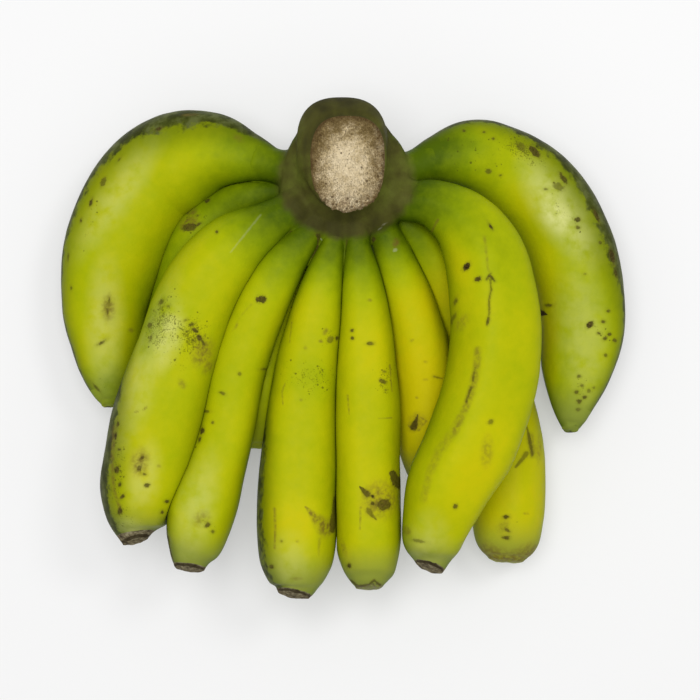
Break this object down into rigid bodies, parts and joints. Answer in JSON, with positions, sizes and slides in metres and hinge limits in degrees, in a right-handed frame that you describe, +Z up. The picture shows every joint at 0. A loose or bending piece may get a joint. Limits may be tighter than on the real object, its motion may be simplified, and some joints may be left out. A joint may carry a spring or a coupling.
{
  "type": "banana hand",
  "caption": "Hand of green-yellow bananas grown on one cut stalk crown, lying belly down with the cut end of the stalk facing up.",
  "frame": {"origin": "on the table under the middle of the hand's bounding box", "axes": "+X across the hand, +Y from the finger tips towards the stalk, +Z up from the table towards the cut end of the stalk"},
  "size_m": [0.2751, 0.2315, 0.082],
  "materials": {
    "skin": "soft waxy sheen, lime yellow with green ends and brown marks",
    "stalk": "dull dark olive rind with a tan spongy cut face"
  },
  "bodies": {
    "root": {"crown": "stalk", "finger_01": "skin", "finger_02": "skin", "finger_03": "skin", "finger_04": "skin", "finger_05": "skin", "finger_06": "skin", "finger_07": "skin", "finger_08": "skin", "finger_09": "skin", "finger_10": "skin", "finger_11": "skin"}
  },
  "joints": []
}
